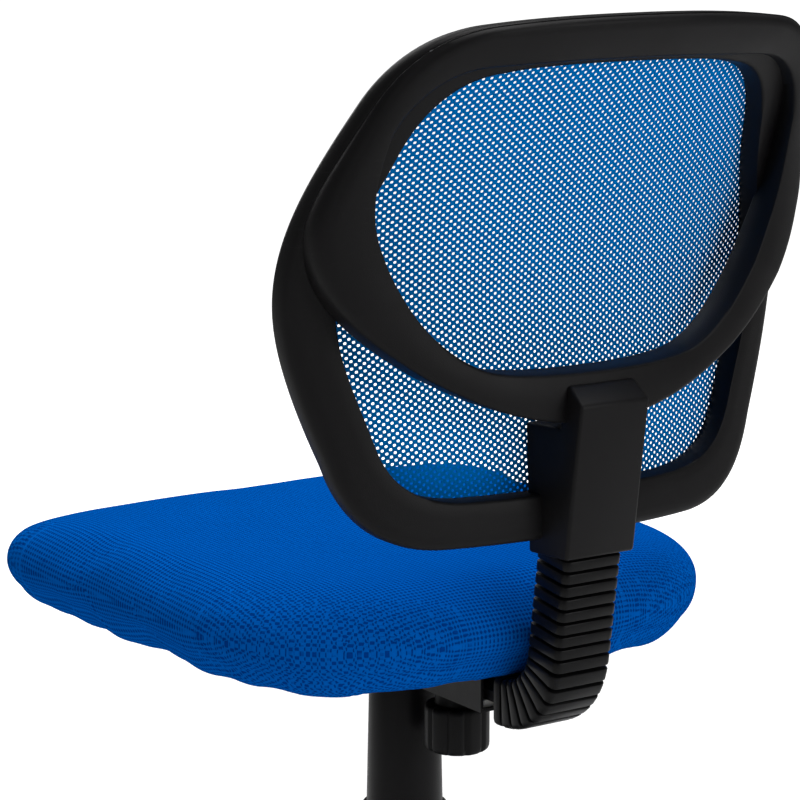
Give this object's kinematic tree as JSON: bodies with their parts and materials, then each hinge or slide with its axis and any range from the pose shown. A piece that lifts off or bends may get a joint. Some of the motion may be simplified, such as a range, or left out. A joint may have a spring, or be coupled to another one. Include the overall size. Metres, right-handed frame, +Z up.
{
  "type": "swivel office chair",
  "caption": "Swivel task chair: padded blue mesh-fabric seat, curved see-through mesh back on a bar in a bellows, depth knob, gas spring with telescopic cover and a wheeled star base.",
  "frame": {"origin": "on the floor, under the axis of the gas spring", "axes": "+Z up; the sitter faces -Y, so the back is at +Y; +X is the sitter's left"},
  "size_m": [0.5528, 0.5907, 0.842],
  "materials": {
    "nylon_black": "satin, fine moulded grain",
    "tube_black": "black paint",
    "guide_nylon": "natural nylon",
    "bearing_steel": "ground",
    "zinc_steel": "zinc plated",
    "cover_plastic": "satin",
    "chrome_rod": "ground and polished",
    "cylinder_black": "satin black",
    "pan_black": "powder coat",
    "plywood": "bare",
    "foam": "cut foam",
    "seat_fabric": "knitted air mesh",
    "dust_cloth": "non-woven",
    "lever_steel": "black paint",
    "grip_plastic": "satin",
    "bar_black": "powder coat",
    "bellows_rubber": "satin",
    "knob_plastic": "satin",
    "back_plastic": "satin, fine moulded grain",
    "mesh_fabric": "open knitted mesh",
    "caster_nylon": "satin",
    "wheel_nylon": "satin"
  },
  "bodies": {
    "base": {"star_base": "nylon_black", "column_tube": "tube_black", "column_guide": "guide_nylon", "lower_column_cover": "cover_plastic"},
    "gas_rod": {"piston_rod": "chrome_rod", "rod_clip": "zinc_steel", "thrust_bearing": "bearing_steel"},
    "middle_cover": {"middle_column_cover": "cover_plastic"},
    "seat_unit": {"gas_cylinder": "cylinder_black", "upper_column_cover": "cover_plastic", "seat_mechanism": "pan_black", "glide_pad": "guide_nylon", "nut_plate": "zinc_steel", "seat_board": "plywood", "t_nuts": "zinc_steel", "seat_bolts": "zinc_steel", "seat_foam": "foam", "seat_cover": "seat_fabric", "seat_underlay": "dust_cloth", "lever_pin": "zinc_steel"},
    "lever": {"height_lever": "lever_steel", "lever_grip": "grip_plastic"},
    "button": {"valve_button": "zinc_steel"},
    "back": {"j_bar": "bar_black", "bellows": "bellows_rubber", "back_spine": "back_plastic", "back_frame": "back_plastic", "mesh_ring": "back_plastic", "back_mesh": "mesh_fabric", "mesh_cord": "mesh_fabric", "back_bolts": "zinc_steel", "ring_screws": "zinc_steel"},
    "knob": {"knob": "knob_plastic", "knob_stud": "zinc_steel"},
    "caster_1": {"caster_1_stem": "zinc_steel", "caster_1_hood": "caster_nylon", "caster_1_axle": "bearing_steel"},
    "caster_1_left": {"caster_1_wheel_left": "wheel_nylon"},
    "caster_1_right": {"caster_1_wheel_right": "wheel_nylon"},
    "caster_2": {"caster_2_stem": "zinc_steel", "caster_2_hood": "caster_nylon", "caster_2_axle": "bearing_steel"},
    "caster_2_left": {"caster_2_wheel_left": "wheel_nylon"},
    "caster_2_right": {"caster_2_wheel_right": "wheel_nylon"},
    "caster_3": {"caster_3_stem": "zinc_steel", "caster_3_hood": "caster_nylon", "caster_3_axle": "bearing_steel"},
    "caster_3_left": {"caster_3_wheel_left": "wheel_nylon"},
    "caster_3_right": {"caster_3_wheel_right": "wheel_nylon"},
    "caster_4": {"caster_4_stem": "zinc_steel", "caster_4_hood": "caster_nylon", "caster_4_axle": "bearing_steel"},
    "caster_4_left": {"caster_4_wheel_left": "wheel_nylon"},
    "caster_4_right": {"caster_4_wheel_right": "wheel_nylon"},
    "caster_5": {"caster_5_stem": "zinc_steel", "caster_5_hood": "caster_nylon", "caster_5_axle": "bearing_steel"},
    "caster_5_left": {"caster_5_wheel_left": "wheel_nylon"},
    "caster_5_right": {"caster_5_wheel_right": "wheel_nylon"}
  },
  "joints": [
    {"name": "swivel", "type": "hinge", "parent": "base", "child": "gas_rod", "pos_m": [0, 0, 0.061], "axis": [0, 0, 1], "continuous": true},
    {"name": "height", "type": "slide", "parent": "gas_rod", "child": "seat_unit", "axis": [0, 0, 1], "range_m": [0, 0.1]},
    {"name": "cover_slide", "type": "slide", "parent": "base", "child": "middle_cover", "axis": [0, 0, 1], "range_m": [0, 0.05]},
    {"name": "lever_hinge", "type": "hinge", "parent": "seat_unit", "child": "lever", "pos_m": [-0.037, 0, 0.349], "axis": [0, 1, 0], "range_deg": [0, 5], "stiffness_Nm_per_rad": 1.5, "springref_deg": -8.59},
    {"name": "button_slide", "type": "slide", "parent": "seat_unit", "child": "button", "axis": [0, 0, -1], "range_m": [0, 0.0034]},
    {"name": "back_depth", "type": "slide", "parent": "seat_unit", "child": "back", "axis": [0, 1, 0], "range_m": [0, 0.03]},
    {"name": "knob_turn", "type": "hinge", "parent": "seat_unit", "child": "knob", "pos_m": [0, 0.071, 0.3], "axis": [0, 0, 1], "continuous": true},
    {"name": "caster_1_swivel", "type": "hinge", "parent": "base", "child": "caster_1", "pos_m": [0, -0.268, 0.06], "axis": [0, 0, 1], "continuous": true},
    {"name": "caster_1_left_roll", "type": "hinge", "parent": "caster_1", "child": "caster_1_left", "pos_m": [0, -0.25, 0.025], "axis": [1, 0, 0], "continuous": true},
    {"name": "caster_1_right_roll", "type": "hinge", "parent": "caster_1", "child": "caster_1_right", "pos_m": [0, -0.25, 0.025], "axis": [1, 0, 0], "continuous": true},
    {"name": "caster_2_swivel", "type": "hinge", "parent": "base", "child": "caster_2", "pos_m": [0.25488, -0.08282, 0.06], "axis": [0, 0, 1], "continuous": true},
    {"name": "caster_2_left_roll", "type": "hinge", "parent": "caster_2", "child": "caster_2_left", "pos_m": [0.25488, -0.06482, 0.025], "axis": [1, 0, 0], "continuous": true},
    {"name": "caster_2_right_roll", "type": "hinge", "parent": "caster_2", "child": "caster_2_right", "pos_m": [0.25488, -0.06482, 0.025], "axis": [1, 0, 0], "continuous": true},
    {"name": "caster_3_swivel", "type": "hinge", "parent": "base", "child": "caster_3", "pos_m": [0.15753, 0.21682, 0.06], "axis": [0, 0, 1], "continuous": true},
    {"name": "caster_3_left_roll", "type": "hinge", "parent": "caster_3", "child": "caster_3_left", "pos_m": [0.15753, 0.23482, 0.025], "axis": [1, 0, 0], "continuous": true},
    {"name": "caster_3_right_roll", "type": "hinge", "parent": "caster_3", "child": "caster_3_right", "pos_m": [0.15753, 0.23482, 0.025], "axis": [1, 0, 0], "continuous": true},
    {"name": "caster_4_swivel", "type": "hinge", "parent": "base", "child": "caster_4", "pos_m": [-0.15753, 0.21682, 0.06], "axis": [0, 0, 1], "continuous": true},
    {"name": "caster_4_left_roll", "type": "hinge", "parent": "caster_4", "child": "caster_4_left", "pos_m": [-0.15753, 0.23482, 0.025], "axis": [1, 0, 0], "continuous": true},
    {"name": "caster_4_right_roll", "type": "hinge", "parent": "caster_4", "child": "caster_4_right", "pos_m": [-0.15753, 0.23482, 0.025], "axis": [1, 0, 0], "continuous": true},
    {"name": "caster_5_swivel", "type": "hinge", "parent": "base", "child": "caster_5", "pos_m": [-0.25488, -0.08282, 0.06], "axis": [0, 0, 1], "continuous": true},
    {"name": "caster_5_left_roll", "type": "hinge", "parent": "caster_5", "child": "caster_5_left", "pos_m": [-0.25488, -0.06482, 0.025], "axis": [1, 0, 0], "continuous": true},
    {"name": "caster_5_right_roll", "type": "hinge", "parent": "caster_5", "child": "caster_5_right", "pos_m": [-0.25488, -0.06482, 0.025], "axis": [1, 0, 0], "continuous": true}
  ],
  "couplings": [
    {"joint": "cover_slide", "follows": "height", "ratio": 0.5},
    {"joint": "button_slide", "follows": "lever_hinge", "m_per_rad": 0.037}
  ]
}
